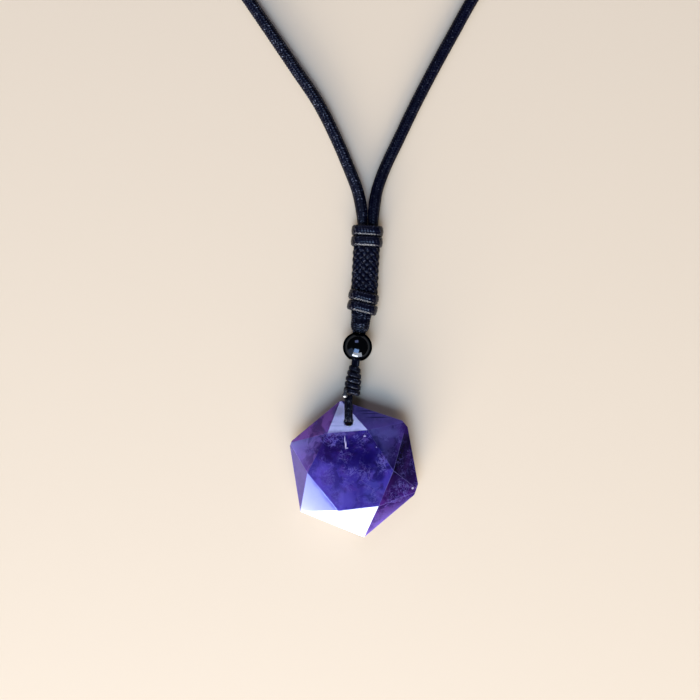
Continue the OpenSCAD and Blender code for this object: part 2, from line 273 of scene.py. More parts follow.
@dataclass
class Layout:
    """Sizes and places of the solids, in millimetres, as the part's source has them."""

    stone_across: float = 30.1
    stone_thick: float = 7.0
    girdle_h: float = 1.2
    table_across: float = 18.9
    drilled_turn: float = 100.8
    hole_in: float = 4.7
    hole_side: float = 0.85
    hole_play: float = 0.28
    mouth_w: float = 0.3
    neck_d: float = 2.7
    held_d: float = 2.3
    fold_w: float = 4.2
    fold_t: float = 3.2
    thin_d: float = 0.86
    row_pitch: float = 1.22
    knot_w: float = 3.7
    knot_clear: float = 1.0
    row_slant: float = 10.0
    thin_neck: float = 0.8
    drop_d: float = 1.2
    bead_d: float = 6.4
    bore_play: float = 0.48
    sink_depth: float = 0.6
    sleeve_len: float = 9.7
    weave_t: float = 0.48
    wrap_len: float = 2.28
    wrap_t: float = 1.15
    lower_slant: float = 7.0
    eye_len: float = 4.6
    gap: float = 0.05
    knot_lean: float = 5.5
    bead_lean: float = 9.8
    eye_lean: float = 7.0
    sleeve_lean: float = 3.0
    fold_dip: float = 0.1
    rim_share: float = 0.56
    knot_shift: float = 0.75
    sink_share: float = 0.6
    rim_play: float = 1.15
    bend_share: float = 1.25
    bend_rise: float = 0.65
    girdle: tuple[tuple[float, float, float], ...] = (
        (0, 0.985, 0.012), (-0.5, 1.008, 0.035), (-0.2, 1.008, 0.05),
        (-2.1, 1.018, 0.008), (-1.2, 0.993, 0.008), (-1.8, 0.988, 0.022))
    table: tuple[tuple[float, float], ...] = (
        (-0.6, 0.942), (-13, 0.904), (-6.7, 1.012), (-0.8, 1.004), (-6.1, 1.046), (-4.7, 1.001))
    rows: tuple[float, ...] = (0.71, 0.88, 0.96, 1.0, 1.0)
    route: tuple[tuple[float, float], ...] = (
        (-1.4, 3.8), (-2.3, 8), (-4.2, 13), (-7, 19.5), (-10.8, 27), (-15.8, 34.5),
        (-21.2, 42.5), (-27, 51), (-34, 61), (-43, 74), (-52, 88), (-60, 102), (-67, 118), (-72, 135),
        (-75, 154), (-76, 173), (-75, 191), (-71, 208), (-64, 224), (-54, 238), (-41, 250), (-26, 258),
        (-10, 262.5), (6, 262.5), (22, 258), (37, 250), (50, 238), (60, 224), (67, 208), (71, 191),
        (72, 173), (71, 154), (68, 135), (63, 118), (56, 102), (48, 88), (39, 74), (30.5, 61),
        (23.7, 51), (18.9, 42.5), (14.5, 34.5), (10.6, 27), (7, 19.5), (3.9, 13), (2.1, 8), (1.4, 3.8))

    def __post_init__(self) -> None:
        """Works out the sizes and places that follow from the others."""
        # The stone's middle plane and its girdle's upper edge
        self.mid_z = self.stone_thick / 2
        self.girdle_top = self.mid_z + self.girdle_h / 2
        # The thin cord's radius, half the distance between its two strands, and its bend inside the fold
        self.thin_r = self.thin_d / 2
        self.thin_half = self.thin_r + self.gap / 2
        self.bend_r = self.bend_share * self.thin_d
        # The neck cord's radius inside the wraps, its strands' half distance and height, and where they part
        self.held_r = self.held_d / 2
        self.held_half = self.held_r + self.gap / 2
        self.sleeve_z = self.held_r + self.gap + self.wrap_t
        self.strand_drop = self.held_d * math.sin(math.radians(self.lower_slant))
        self.wrap_pitch = self.wrap_len + self.gap
        # The drilled corner's front facet: its normal, not scaled, and its slope away from the middle
        foot = vec(*self.girdle_xy(0), self.girdle_top)
        after, before = (vec(*self.table_xy(k), self.stone_thick) - foot for k in (0, 5))
        self.facet_normal = np.cross(after, before)
        self.facet_slope = math.atan(self.facet_normal[1] / self.facet_normal[2])
        # The stone's hole
        inwards = -polar(self.drilled_turn)
        self.hole_r = self.thin_d + self.hole_play / 2
        beside = vec(-inwards[1], inwards[0])
        self.hole_at = self.girdle_xy(0) + self.hole_in * inwards + self.hole_side * beside
        # The knot: half the height of a row, how far a slanted row stands past it, and the whole length
        self.row_rim = self.row_pitch * self.rim_share
        self.row_rise = (self.knot_w / 2 - self.row_rim) * math.sin(math.radians(self.row_slant))
        self.knot_len = self.row_pitch * (len(self.rows) - 1) + 2 * (self.row_rim + self.row_rise)
        across = self.hole_at[0] + self.hole_side * self.knot_shift
        self.knot_foot = vec(across, self.girdle_xy(0)[1] + self.knot_clear, self.mid_z)
        # The bead, its bore and countersunk mouths, and how far up those and the thin cord's bend lie
        self.bead_r = self.bead_d / 2
        self.bore_r = self.thin_d + self.bore_play / 2
        self.sink_r = self.bore_r + self.sink_depth * self.sink_share
        p = (self.knot_foot + self.knot_len * leaning(self.knot_lean)
             + (self.thin_neck + self.bead_r) * leaning(self.bead_lean))
        self.bead_at = vec(p[0], p[1], self.bead_r)
        whole = self.knot_len + self.thin_neck + self.bead_r
        self.knot_top = mix(self.knot_foot, self.bead_at, self.knot_len / whole)
        self.rim_up = math.sqrt(self.bead_r**2 - self.sink_r**2)
        self.rim_half = self.sink_r - self.rim_play * self.thin_r - self.gap
        self.bend_up = self.rim_up + self.bend_rise * self.thin_d
        # Where the strands enter the lower wraps, the sleeve's ends, and where they leave the upper wraps
        p = self.bead_at + (self.rim_up + self.eye_len) * leaning(self.eye_lean)
        self.eye_foot = vec(p[0], p[1], self.sleeve_z)
        self.sleeve_foot = self.eye_foot + self.collar_len(self.lower_slant) * leaning(self.eye_lean)
        self.sleeve_top = self.sleeve_foot + self.sleeve_len * leaning(self.sleeve_lean)
        self.cords_top = self.sleeve_top + self.collar_len(0) * leaning(self.sleeve_lean)

    def girdle_xy(self, k: int) -> Array:
        """Plan of girdle corner k, before its tip is ground."""
        turn, share, _ = self.girdle[k % 6]
        return self.stone_across / 2 * share * polar(self.drilled_turn - 60 * k + turn)

    def table_xy(self, k: int) -> Array:
        """Plan of table corner k."""
        turn, share = self.table[k % 6]
        return self.table_across / 2 * share * polar(self.drilled_turn - 60 * k - 30 + turn)

    def facet_z(self, x: float, y: float) -> float:
        """Height of the drilled corner's facet above a point of the plan."""
        n, a = self.facet_normal, self.girdle_xy(0)
        return self.girdle_top - (n[0] * (x - a[0]) + n[1] * (y - a[1])) / n[2]

    def collar_len(self, slant: float) -> float:
        """Length of a pair of wraps along the cords."""
        return (2 * self.wrap_pitch + self.gap) / math.cos(math.radians(slant))

    def from_bead(self, along: float, across: float = 0.0) -> Array:
        """A point up the line from the bead to the sleeve, and across it."""
        line = unit(self.eye_foot - self.bead_at)
        return self.bead_at + along * line + across * unit(np.cross(line, vec(0, 0, 1)))

    def fold_line(self) -> Array:
        """The flat fold over the thin cord, from inside the wraps down to the bead.

        Returns:
            Rows of x, y, z, half width and half height.
        """
        total = float(np.linalg.norm(self.eye_foot - self.bead_at))
        shoulder_r = self.held_r + 2 * self.gap
        shoulder_up = total - self.strand_drop - shoulder_r
        low = self.rim_up - self.fold_dip
        reach = (shoulder_up - low) * 0.65
        middle = low + reach
        rows = [(total + 0.4 * self.wrap_len, self.held_half + self.held_r, self.held_r),
                (total, self.held_half + self.held_r, self.held_r),
                (mix(total, shoulder_up, 0.5), self.fold_w / 2 + 0.1, shoulder_r),
                (shoulder_up, self.fold_w / 2, shoulder_r)]
        rows += [(mix(shoulder_up, middle, t), self.fold_w / 2, mix(shoulder_r, self.fold_t / 2, t))
                 for t in (0.35, 0.7)]
        rows += [(middle - reach * math.sin(a), self.fold_w / 2 * math.cos(a), self.fold_t / 2 * math.cos(a))
                 for a in np.radians((0, 12, 24, 35, 45, 54, 62, 69, 75, 80, 84))]
        return np.array([(*self.from_bead(up), wide, tall) for up, wide, tall in rows])

    def neck_line(self) -> Array:
        """The neck cord's line from the fold up the right strand, round and back down the left one.

        Returns:
            Rows of x, y, z and radius.
        """
        low, high = leaning(self.eye_lean + 90), leaning(self.sleeve_lean + 90)

        def held(side: float) -> list[Array]:
            """One strand from the fold to the top of the upper wraps."""
            s = side * self.held_half
            lean = leaning(self.eye_lean)
            straight = [self.eye_foot + self.strand_drop * lean + s * low,
                        self.eye_foot + self.wrap_pitch * lean + s * low,
                        self.sleeve_foot + s * unit(low + high),
                        self.sleeve_top + s * high, self.cords_top + s * high]
            return [vec(*p, self.held_r) for p in straight]

        settle_at = self.route[2][1]
        top = self.cords_top

        def laid(p: tuple[float, float]) -> Array:
            """A row of the free loop, on the surface once clear of the wraps."""
            t = min(1.0, p[1] / settle_at)
            z = mix(self.sleeve_z, self.neck_d / 2, t * t * (3 - 2 * t))
            return vec(top[0] + p[0], top[1] + p[1], z, self.neck_d / 2)

        return np.array(held(1) + [laid(p) for p in self.route[::-1]] + held(-1)[::-1])


SIZE = Layout()


class Wiring:
    """A shader's node tree, with short ways to add its nodes and join them."""

    def __init__(self, tree: NodeTree) -> None:
        """Takes the tree to work on."""
        self.tree = tree

    def feed(self, node: Node, inputs: dict[str | int, object]) -> None:
        """Gives each named or numbered input of a node its value, or joins it to a socket."""
        for key, value in inputs.items():
            if isinstance(value, NodeSocket):
                self.tree.links.new(value, node.inputs[key])
            else:
                node.inputs[key].default_value = value

    def node(self, kind: str, inputs: dict[str | int, object], **settings: object) -> Node:
        """Adds a node.

        Args:
            kind: The node's type name, without the ShaderNode that starts it.
            inputs: A value or a socket for each input, by name or number.
            settings: The node's own properties, by name.

        Returns:
            The node.
        """
        node = self.tree.nodes.new("ShaderNode" + kind)
        for key, value in settings.items():
            setattr(node, key, value)
        self.feed(node, inputs)
        return node

    def math(self, operation: str, *values: object, clamp: bool = False) -> NodeSocket:
        """The result of an operation on numbers or sockets."""
        return self.node("Math", dict(enumerate(values)), operation=operation, use_clamp=clamp).outputs[0]

    def noise(self, where: NodeSocket, **inputs: object) -> NodeSocket:
        """Noise at the given places."""
        return self.node("TexNoise", {"Vector": where, **inputs}).outputs["Fac"]

    def smooth(self, value: NodeSocket, low: object, high: object) -> NodeSocket:
        """A soft rise of a value from 0 at low to 1 at high."""
        ends = {"Value": value, "From Min": low, "From Max": high}
        return self.node("MapRange", ends, interpolation_type="SMOOTHSTEP").outputs["Result"]

    def bump(self, height: NodeSocket, strength: NodeSocket, distance: float) -> NodeSocket:
        """The normal of a surface with that relief."""
        inputs = {"Height": height, "Strength": strength, "Distance": distance}
        return self.node("Bump", inputs).outputs["Normal"]


class Group(Wiring):
    """A shader node group with named inputs and outputs, built once."""

    def __init__(self, name: str, **inputs: object) -> None:
        """Makes the group and its inputs.

        Args:
            name: The group's name.
            inputs: The default of each input, a number or a vector.
        """
        super().__init__(bpy.data.node_groups.new(name, "ShaderNodeTree"))
        for title, value in inputs.items():
            kind = "NodeSocketVector" if isinstance(value, tuple) else "NodeSocketFloat"
            self.tree.interface.new_socket(title, in_out="INPUT", socket_type=kind).default_value = value
        self.given = self.tree.nodes.new("NodeGroupInput").outputs
        self.where = self.node("TexCoord", {}).outputs["Object"]

    def give(self, **outputs: NodeSocket) -> "Group":
        """Joins sockets to outputs of the given names, and returns the finished group."""
        for title, socket in outputs.items():
            kind = "NodeSocketVector" if socket.type == "VECTOR" else "NodeSocketFloat"
            self.tree.interface.new_socket(title, in_out="OUTPUT", socket_type=kind)
        self.feed(self.tree.nodes.new("NodeGroupOutput"), outputs)
        return self


def mottle_group() -> Group:
    """Cloudy patches: a mask from noise."""
    g = Group("mottle", Scale=300.0, Low=0.4, High=0.6, Twist=1.0)
    noise = g.noise(g.where, Scale=g.given["Scale"], Detail=6, Roughness=0.6, Distortion=g.given["Twist"])
    return g.give(Mask=g.smooth(noise, g.given["Low"], g.given["High"]))


def vein_group() -> Group:
    """Thin bright threads inside the stone: a mask from the creases of a twisted noise."""
    g = Group("vein", Scale=500.0, Twist=1.5, Thin=0.12)
    noise = g.noise(g.where, Scale=g.given["Scale"], Detail=3, Distortion=g.given["Twist"])
    away = g.math("ABSOLUTE", g.math("SUBTRACT", noise, 0.5))
    some = g.smooth(g.noise(g.where, Scale=330), 0.42, 0.62)
    return g.give(Mask=g.math("MULTIPLY", g.smooth(away, g.given["Thin"], 0.0), some))


def zone_group() -> Group:
    """A soft round zone of the stone: 1 at its middle, 0 outside."""
    g = Group("zone", Middle=(0.0, 0.0, 0.0), Reach=(1.0, 1.0, 1.0), Ragged=0.3)
    away = g.node("VectorMath", {0: g.where, 1: g.given["Middle"]}, operation="SUBTRACT").outputs[0]
    share = g.node("VectorMath", {0: away, 1: g.given["Reach"]}, operation="DIVIDE").outputs[0]
    size = g.node("VectorMath", {0: share}, operation="LENGTH").outputs["Value"]
    shift = g.math("SUBTRACT", g.noise(g.where, Scale=500, Detail=5), 0.5)
    return g.give(Mask=g.smooth(g.math("MULTIPLY_ADD", shift, g.given["Ragged"], size), 1.2, 0.35))


def fibre_group() -> Group:
    """Fine yarn fibres of a braided cord, masks for painted shade in its furrows and painted glints on its
    bright crests, and a normal.
    """
    g = Group("fibre", Scale=9000.0, Strength=0.3)
    relief = g.node("Attribute", {}, attribute_name="relief").outputs["Fac"]
    top = g.math("SUBTRACT", 1.0, relief, clamp=True)
    normal = g.bump(g.noise(g.where, Scale=g.given["Scale"], Detail=3), g.given["Strength"], 0.00006)
    return g.give(Top=top, Wear=g.noise(g.where, Scale=260, Detail=4), Crest=g.smooth(top, 0.80, 0.96),
                  Sparse=g.smooth(g.noise(g.where, Scale=1500), 0.50, 0.66), Normal=normal)


def scuff_group() -> Group:
    """Fine scratches and pits of a polished face: a mask and a normal."""
    g = Group("scuff", Scale=900.0, Strength=0.1)
    drawn = g.node("Mapping", {"Vector": g.where, "Rotation": (0.0, 0.0, 0.65), "Scale": (0.12, 1.0, 0.5)})
    streak = g.noise(drawn.outputs["Vector"], Scale=g.given["Scale"], Detail=5, Roughness=0.7)
    line = g.smooth(streak, 0.6, 0.7)
    return g.give(Marks=line, Normal=g.bump(line, g.given["Strength"], 0.00004))


# Red, green and blue light that a level white surface throws back on this stage
STAGE_LIGHT = (1.5, 1.6, 1.8)


def seen(red: int, green: int, blue: int) -> Colour:
    """The base colour that shows as a screen colour of 0 to 255 on the lit stage."""
    linear = [(v / 255 / 12.92) if v < 11 else ((v / 255 + 0.055) / 1.055) ** 2.4 for v in (red, green, blue)]
    return tuple(v / light for v, light in zip(linear, STAGE_LIGHT))


def rgba(colour: Colour) -> tuple[float, float, float, float]:
    """The colour with full alpha."""
    return (*colour, 1.0)


class Finish(Wiring):
    """What every finish shares: a material with one Principled shader and helpers to wire it."""

    def __init__(self, name: str) -> None:
        """Starts a material of that name."""
        self.material = bpy.data.materials.new(name)
        self.material.use_nodes = True
        super().__init__(self.material.node_tree)

    def place(self, group: Group, **values: object) -> bpy.types.bpy_prop_collection:
        """Places a shared group with its own values and returns its outputs."""
        return self.node("Group", values, node_tree=group.tree).outputs

    def blend(self, mask: NodeSocket, low: Colour | NodeSocket, high: Colour | NodeSocket) -> NodeSocket:
        """Mixes two colours by the share of the second one."""
        both = [v if isinstance(v, NodeSocket) else rgba(v) for v in (low, high)]
        return self.node("Mix", {0: mask, 6: both[0], 7: both[1]}, data_type="RGBA").outputs[2]

    def share(self, mask: NodeSocket, part: float | NodeSocket) -> NodeSocket:
        """A mask times a number or another mask."""
        return self.math("MULTIPLY", mask, part)

    def spread(self, mask: NodeSocket, low: float, high: float) -> NodeSocket:
        """Spreads a mask over a range of values."""
        return self.node("MapRange", {"Value": mask, "To Min": low, "To Max": high}).outputs["Result"]

    def surface(self, inputs: dict[str, object]) -> Material:
        """Sets the shader's inputs and returns the finished material."""
        self.feed(self.tree.nodes["Principled BSDF"], inputs)
        return self.material


@dataclass(frozen=True)
class BraidedCord:
    """Black braided cord with a slight waxy shine, painted shade in its furrows and painted glints on sparse
    crests.
    """

    name: str
    yarn: Colour = (0.0009, 0.0011, 0.0058)
    # Painted shade colour for the braid's furrows
    furrow: Colour = (0.0002, 0.0002, 0.0006)
    worn: Colour = (0.0022, 0.0026, 0.0100)
    # Painted glint colour on the braid's crests, and the share of sparse crests that get it
    tip: Colour = (0.24, 0.25, 0.31)
    glint_share: float = 0.36
    gloss: float = 0.18
    dull: float = 0.30
    shine: float = 0.12

    def make(self, fibre: Group) -> Material:
        """Builds the material round the shared fibre group."""
        f = Finish(self.name)
        yarn_look = f.place(fibre, Scale=7000.0, Strength=0.25)
        yarn = f.blend(f.spread(yarn_look["Wear"], -0.6, 1.3), self.yarn, self.worn)
        # Painted shade: the colour darkens towards the deep furrows of the relief
        yarn = f.blend(yarn_look["Top"], self.furrow, yarn)
        # Painted glints: the bright colour on sparse crests of the relief
        bright = f.share(f.share(yarn_look["Crest"], self.glint_share), yarn_look["Sparse"])
        return f.surface({"Base Color": f.blend(bright, yarn, self.tip),
                          "Roughness": f.spread(yarn_look["Wear"], self.dull, self.gloss),
                          "Normal": yarn_look["Normal"], "Specular IOR Level": self.shine})


@dataclass(frozen=True)
class GlossBlack:
    """Polished black, as of the bead and of melted cord."""

    name: str
    colour: Colour
    fleck: Colour
    roughness: float
    marks: float
    shine: float = 0.5
    metal: float = 0.0
    edge: float = 1.0

    def make(self, mottle: Group, scuff: Group) -> Material:
        """Builds the material round the shared cloud and scratch groups."""
        f = Finish(self.name)
        cloud = f.place(mottle, Scale=900.0, Low=0.45, High=0.75, Twist=0.4)
        marks = f.place(scuff, Scale=1400.0, Strength=self.marks)
        return f.surface({"Base Color": f.blend(cloud["Mask"], self.colour, self.fleck),
                          "Roughness": f.spread(marks["Marks"], self.roughness, self.roughness + 0.12),
                          "Normal": marks["Normal"], "IOR": 1.5, "Specular IOR Level": self.shine,
                          "Metallic": self.metal, "Specular Tint": rgba((self.edge,) * 3)})


class Tone(Enum):
    """A facet corner's colour, the stone's own with painted light, shade and window reflections, and how
    cloudy it is there.
    """

    NIGHT = (*seen(8, 1, 40), 0.25)
    INK = (*seen(24, 6, 80), 0.4)
    PLUM = (*seen(52, 20, 100), 0.8)
    WINE = (*seen(74, 30, 116), 0.9)
    VIOLET = (*seen(88, 56, 150), 0.9)
    SLATE = (*seen(90, 88, 165), 0.35)
    MAUVE = (*seen(120, 98, 190), 0.15)
    PALE_SHEEN = (*seen(146, 140, 212), 0.1)
    SKY = (*seen(128, 138, 224), 0.05)
    GLARE_WHITE = (*seen(190, 200, 248), 0.0)
    ROSE = (*seen(128, 80, 160), 0.6)
    PINK = (*seen(170, 112, 206), 0.6)
    BLUE = (*seen(62, 50, 158), 0.75)
    DUSK = (*seen(70, 58, 166), 0.3)
    HEATHER = (*seen(90, 76, 150), 0.15)
    ORCHID = (*seen(146, 104, 200), 0.5)
    PALE_GLARE = (*seen(196, 200, 250), 0.1)


@dataclass(frozen=True)
class Patch:
    """A soft patch of colour in the stone. Lengths are in millimetres."""

    middle: tuple[float, float]
    reach: tuple[float, float]
    colour: Colour
    share: float = 0.85
    ragged: float = 0.8
    height: float = 7.0
    depth: float = 0.5


@dataclass(frozen=True)
class Amethyst:
    """Cloudy purple quartz under a polished surface."""

    name: str = "amethyst"
    veil: Colour = seen(112, 104, 196)
    shade: Colour = seen(8, 0, 62)
    warm: Colour = seen(104, 50, 150)
    under: tuple[Patch, ...] = ()
    over: tuple[Patch, ...] = ()

    def paint(self, f: Finish, zone: Group, colour: NodeSocket, patch: Patch) -> NodeSocket:
        """Lays one patch over a colour and returns the mixed colour's socket."""
        middle, reach = (*patch.middle, patch.height), (*patch.reach, patch.depth)
        middle, reach = [v * MM for v in middle], [v * MM for v in reach]
        look = f.place(zone, Ragged=patch.ragged, Middle=middle, Reach=reach)
        return f.blend(f.share(look["Mask"], patch.share), colour, patch.colour)

    def make(self, mottle: Group, vein: Group, zone: Group, scuff: Group) -> Material:
        """Builds the material round the shared cloud, vein, zone and scratch groups."""
        f = Finish(self.name)
        # The facet tones carry painted light, shade and reflections; the clouds, veins and patches go over
        # them
        tone = f.node("Attribute", {}, attribute_name="tone").outputs
        colour, cloudy = tone["Color"], tone["Alpha"]
        for patch in self.under:
            colour = self.paint(f, zone, colour, patch)
        for group, part, other, values in (
                (mottle, 0.95, self.shade, {"Scale": 380.0, "Low": 0.43, "High": 0.62, "Twist": 0.9}),
                (mottle, 0.35, self.warm, {"Scale": 300.0, "Low": 0.48, "High": 0.70, "Twist": 0.2}),
                (vein, 0.80, self.veil, {"Scale": 420.0, "Twist": 1.2, "Thin": 0.035}),
                (vein, 0.75, self.veil, {"Scale": 1100.0, "Twist": 0.6, "Thin": 0.05})):
            mask = f.share(f.place(group, **values)["Mask"], part)
            colour = f.blend(f.share(mask, cloudy), colour, other)
        for patch in self.over:
            colour = self.paint(f, zone, colour, patch)
        marks = f.place(scuff, Scale=900.0, Strength=0.12)
        return f.surface({"Base Color": colour, "Roughness": f.spread(marks["Marks"], 0.03, 0.12),
                          "Normal": marks["Normal"], "IOR": 1.54, "Subsurface Weight": 0.75,
                          "Subsurface Radius": (1.0, 0.85, 1.2), "Subsurface Scale": 0.005,
                          "Coat Weight": 0.4, "Coat Roughness": 0.02})


def settle(piece: Object, material: Material, slot: str, *nodes: str) -> None:
    """Gives a piece its material and its place on the part.

    Args:
        piece: The new piece.
        material: Its finish.
        slot: The record's material slot; not used.
        nodes: The solids that it stands for.
    """
    piece.data.materials.append(material)
    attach(piece, "root")
    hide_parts(*nodes)
    LOG.info("%s: %d faces", piece.name, len(piece.data.polygons))


@dataclass
class CutStone:
    """The drilled stone: two tables, two crowns of twelve facets and a girdle.

    Facet k of the corners runs from table corner k - 1 over girdle corner k to table corner k, and
    facet k of the edges from table corner k over girdle corner k + 1 back to girdle corner k. Each
    has a tone for each corner, which paints that facet's light, shade and window reflections into
    the stone's colour.
    """

    size: Layout
    edge: float = 0.10
    edge_light: float = 0.30
    mouth_share: float = 0.4
    # The tones paint each facet's light, shade and window reflections; the palest are painted reflections of
    # the windows
    table_tones: tuple[Tone, ...] = (Tone.BLUE, Tone.BLUE, Tone.DUSK, Tone.DUSK, Tone.DUSK, Tone.BLUE)
    corner_tones: tuple[tuple[Tone, Tone, Tone], ...] = (
        (Tone.PALE_GLARE, Tone.PALE_SHEEN, Tone.PALE_GLARE), (Tone.SLATE, Tone.VIOLET, Tone.INK),
        (Tone.NIGHT, Tone.PLUM, Tone.WINE), (Tone.GLARE_WHITE, Tone.GLARE_WHITE, Tone.GLARE_WHITE),
        (Tone.SKY, Tone.GLARE_WHITE, Tone.SKY), (Tone.ORCHID, Tone.PALE_SHEEN, Tone.VIOLET))
    edge_tones: tuple[tuple[Tone, Tone, Tone], ...] = (
        (Tone.MAUVE, Tone.MAUVE, Tone.SLATE), (Tone.NIGHT, Tone.PLUM, Tone.NIGHT),
        (Tone.WINE, Tone.MAUVE, Tone.INK), (Tone.GLARE_WHITE, Tone.GLARE_WHITE, Tone.GLARE_WHITE),
        (Tone.HEATHER, Tone.HEATHER, Tone.HEATHER), (Tone.PINK, Tone.ROSE, Tone.PINK))

    def mesh(self) -> Object:
        """Builds the facets with slightly worn edges and drills the hole.

        Returns:
            The stone's object, with each facet's tones, painted light, shade and reflections, as a colour.
        """
        s = self.size
        heights = (s.stone_thick, s.girdle_top, s.stone_thick - s.girdle_top, 0.0)
        bm = bmesh.new()
        tone = bm.loops.layers.float_color.new("tone")
        corners = []
        for row, z in enumerate(heights):
            plans = [s.girdle_xy(k) if row in (1, 2) else s.table_xy(k) for k in range(6)]
            corners += [bm.verts.new((*plan * MM, z * MM)) for plan in plans]

        def facet(indices: Sequence[int], tones: Sequence[Tone]) -> None:
            """One facet through those corners, each with its tone."""
            face = bm.faces.new([corners[i] for i in indices])
            for loop, colour in zip(face.loops, tones):
                loop[tone] = colour.value

        facet(range(5, -1, -1), self.table_tones[::-1])
        facet([18 + k for k in range(6)], self.table_tones)
        for k in range(6):
            m, n = (k + 5) % 6, (k + 1) % 6
            before, corner, after = self.corner_tones[k]
            facet((k, 6 + k, m), (after, corner, before))
            facet((18 + m, 12 + k, 18 + k), (before, corner, after))
            inner, far, near = self.edge_tones[k]
            facet((k, 6 + n, 6 + k), (inner, far, near))
            facet((12 + k, 12 + n, 18 + k), (near, far, inner))
            facet((12 + n, 12 + k, 6 + k, 6 + n), (far, near, near, far))
        self.grind_tips(bm, tone)
        bmesh.ops.recalc_face_normals(bm, faces=bm.faces[:])
        sharp = [e for e in bm.edges if e.is_manifold and e.calc_face_angle() > math.radians(8)]
        worn = bmesh.ops.bevel(bm, geom=sharp, offset=self.edge * MM, offset_type="OFFSET",
                               segments=2, profile=0.6, affect="EDGES", clamp_overlap=True)
        # Paints a pale highlight along the worn edges, a share edge_light of the way to the pale sheen tone
        light = Vector(Tone.PALE_SHEEN.value)
        for face in worn["faces"]:
            for loop in face.loops:
                loop[tone] = Vector(loop[tone]).lerp(light, self.edge_light)
        mesh = bpy.data.meshes.new("faceted_stone")
        bm.to_mesh(mesh)
        bm.free()
        stone = show("faceted_stone", mesh)
        self.drill(stone)
        return stone

    def grind_tips(self, bm: bmesh.types.BMesh, tone: bmesh.types.BMLayerItem) -> None:
        """Grinds the tip off each girdle corner."""
        s = self.size
        for k, (turn, share, tip) in enumerate(s.girdle):
            normal = Vector((*polar(s.drilled_turn - 60 * k + turn), 0))
            at = normal * (s.stone_across / 2 * (share - tip) * MM)
            cut = bmesh.ops.bisect_plane(bm, geom=bm.verts[:] + bm.edges[:] + bm.faces[:], dist=1e-7,
                                         clear_outer=True, plane_co=at, plane_no=normal)
            rim = [e for e in cut["geom_cut"] if isinstance(e, bmesh.types.BMEdge)]
            for face in bmesh.ops.contextual_create(bm, geom=rim)["faces"]:
                for loop in face.loops:
                    loop[tone] = self.corner_tones[k][1].value

    def drill(self, stone: Object) -> None:
        """Cuts the hole and its worn mouths through the stone."""
        s = self.size
        x, y = s.hole_at
        z = s.facet_z(x, y)
        tool = Shape()
        r, m = s.hole_r, s.mouth_w * self.mouth_share
        tilt = vec(0, math.sin(s.facet_slope), math.cos(s.facet_slope))
        top = s.stone_thick + 1
        lathe(tool, vec(x, y, 0), vec(0, 1e-9, 1), [(-1, 0.001), (-1, r), (top, r), (top, 0.001)], 48)
        mouth = [(-2 * m, 0.001), (-2 * m, r), (2 * m, r + 2 * m), (2 * m, 0.001)]
        for sign, at in ((1, z), (-1, s.stone_thick - z)):
            lathe(tool, vec(x, y, at), tilt * vec(1, 1, sign), mouth, 48)
        cutter = tool.build("hole_tool")
        bm = bmesh.new()
        bm.from_mesh(cutter.data)
        bmesh.ops.recalc_face_normals(bm, faces=bm.faces[:])
        bm.to_mesh(cutter.data)
        bm.free()
        cut = stone.modifiers.new("hole", "BOOLEAN")
        cut.operation, cut.object, cut.solver, cut.use_self = "DIFFERENCE", cutter, "EXACT", True
        bpy.context.view_layer.update()
        result = bpy.data.meshes.new_from_object(stone.evaluated_get(bpy.context.evaluated_depsgraph_get()))
        stone.modifiers.clear()
        stone.data = result
        bpy.data.objects.remove(cutter)

    def build(self, material: Material) -> None:
        """Makes the stone and dresses it."""
        settle(self.mesh(), material, "stone", "stone")


@dataclass
class ThinCord:
    """What the doubled stretches of thin cord share: their strands and what fills the groove between."""

    size: Layout
    filling: tuple[float, float] = (0.8, 0.4)
    braid: Braid = Braid(columns=6, stitch=0.42, depth=0.05, slant=1.0)

    def lay(self, shape: Shape, points: Array, ref: Array) -> None:
        """Adds one braided strand."""
        r = self.size.thin_r
        sweep(shape, smooth_path(points, RING_STEP), ref, r, r, 24, self.braid)

    def fill(self, shape: Shape, path: Array, ref: Array) -> None:
        """Adds the filling between two strands."""
        wide, tall = self.filling
        sweep(shape, path, ref, wide * self.size.thin_r, tall * self.size.thin_r, 16)


@dataclass
class StoneLoop(ThinCord):
    """The doubled thin cord over the stone's edge and through its hole."""

    def strand(self, x: float) -> Array:
        """Points of one strand in its upright plane."""
        s = self.size
        lip_y = s.hole_at[1] + math.sqrt(s.hole_r**2 - (x - s.hole_at[0]) ** 2)
        lip_z = s.facet_z(x, lip_y)
        a, b = s.girdle_xy(0), s.girdle_xy(1)
        edge_y = a[1] + (x - a[0]) * (b[1] - a[1]) / (b[0] - a[0])
        edge_z = s.facet_z(x, edge_y)
        lift, lean_in = s.thin_r + s.gap, lip_y - s.hole_at[1] - s.hole_play / 2
        out = math.pi / 2 - s.facet_slope
        front = [(s.knot_foot[1] - 2 * s.gap, s.mid_z + s.thin_half + s.gap),
                 (edge_y + lift * math.cos(out / 2), edge_z + lift * math.sin(out / 2)),
                 (edge_y + lift * math.cos(out), edge_z + lift * math.sin(out))]
        for i in range(5):
            t = out + i * (math.pi - out) / 4
            away = lift if math.cos(t) > 0 else lean_in
            front.append((lip_y + math.cos(t) * away, lip_z + math.sin(t) * lift))
        front.append((lip_y - lean_in, s.girdle_top))
        both = front + [(y, s.stone_thick - z) for y, z in front[::-1]]
        return np.array([(x, y, z) for y, z in both])

    def build(self, material: Material) -> None:
        """Makes both strands and their filling and dresses them."""
        shape, x, across = Shape(), self.size.hole_at[0], vec(1, 0, 0)
        for side in (-1, 1):
            self.lay(shape, self.strand(x + side * self.size.thin_half), across)
        self.fill(shape, smooth_path(self.strand(x), RING_STEP), across)
        settle(shape.build("thin_cord_loop"), material, "cord", "stone_loop")


